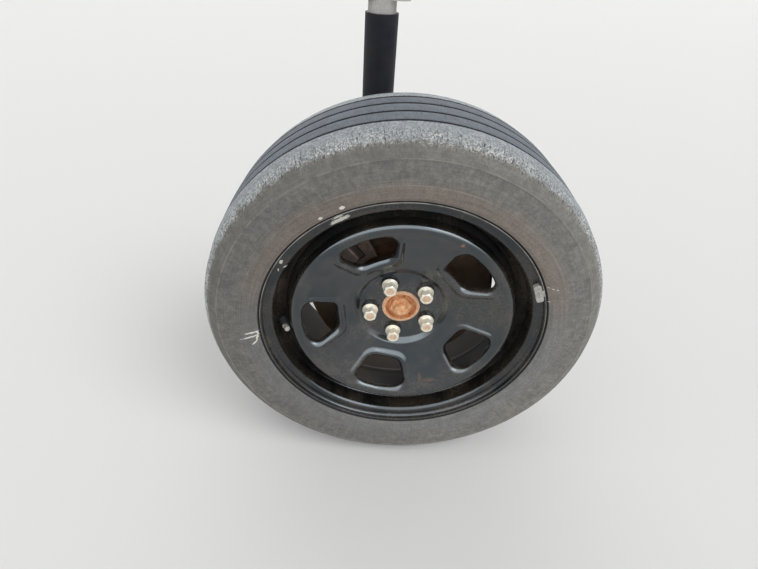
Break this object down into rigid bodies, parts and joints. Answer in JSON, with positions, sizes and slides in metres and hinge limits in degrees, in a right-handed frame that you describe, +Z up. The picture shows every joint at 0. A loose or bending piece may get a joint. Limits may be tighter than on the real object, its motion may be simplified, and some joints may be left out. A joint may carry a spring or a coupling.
{
  "type": "suv rear wheel end",
  "caption": "Rear wheel end of a utility vehicle: tyre on a steel disc wheel, hub, disc brake, half shaft, knuckle and damper. The wheel spins freely.",
  "frame": {"origin": "centre of the knuckle's lower arm pivot", "axes": "+X vehicle forward and along the lower arm pivot, +Y inboard along the wheel's axis, +Z up; the wheel's outer face looks along -Y"},
  "size_m": [0.7019, 0.4868, 0.845],
  "materials": {
    "tyre_rubber": "worn matt rubber",
    "wheel_paint": "gloss black, scuffed",
    "nut_plating": "dull bright plating",
    "rusty_steel": "surface rust",
    "disc_iron": "rusty hat, worn faces",
    "bare_steel": "machined, dull",
    "knuckle_iron": "as cast, dirty",
    "caliper_iron": "plated iron, dirty",
    "pad_lining": "friction compound",
    "zinc_sheet": "plated sheet, dusty",
    "soft_rubber": "matt rubber",
    "damper_paint": "satin black",
    "cover_plastic": "satin black plastic",
    "cast_alloy": "as cast alloy",
    "weight_zinc": "chipped grey paint",
    "shaft_paint": "black paint, dusty",
    "valve_rubber": "black rubber, bright cap"
  },
  "bodies": {
    "carrier": {"bearing_housing": "bare_steel", "bearing_bolts": "bare_steel", "splash_plate": "zinc_sheet", "knuckle": "knuckle_iron", "link_bushings": "soft_rubber", "link_sleeves": "bare_steel", "caliper_bracket": "caliper_iron", "bracket_bolts": "bare_steel", "brake_pads": "pad_lining", "caliper": "caliper_iron", "guide_pins": "bare_steel", "pin_boots": "soft_rubber", "damper_tube": "damper_paint", "damper_bush": "soft_rubber", "damper_bolt": "bare_steel", "damper_cover": "cover_plastic", "damper_rod": "bare_steel", "damper_mount": "cast_alloy"},
    "wheel": {"tyre": "tyre_rubber", "rim": "wheel_paint", "wheel_disc": "wheel_paint", "lug_nuts": "nut_plating", "wheel_studs": "rusty_steel", "hub": "rusty_steel", "brake_disc": "disc_iron", "stub_axle": "rusty_steel", "axle_nut": "rusty_steel", "joint_race": "bare_steel", "joint_cage": "bare_steel", "drive_shaft": "shaft_paint", "joint_boot": "soft_rubber", "boot_bands": "bare_steel", "valve_stem": "valve_rubber", "balance_weight": "weight_zinc"}
  },
  "joints": [
    {"name": "wheel_spin", "type": "hinge", "parent": "carrier", "child": "wheel", "pos_m": [0.02, -0.165, 0.13], "axis": [0, 1, 0], "continuous": true}
  ]
}
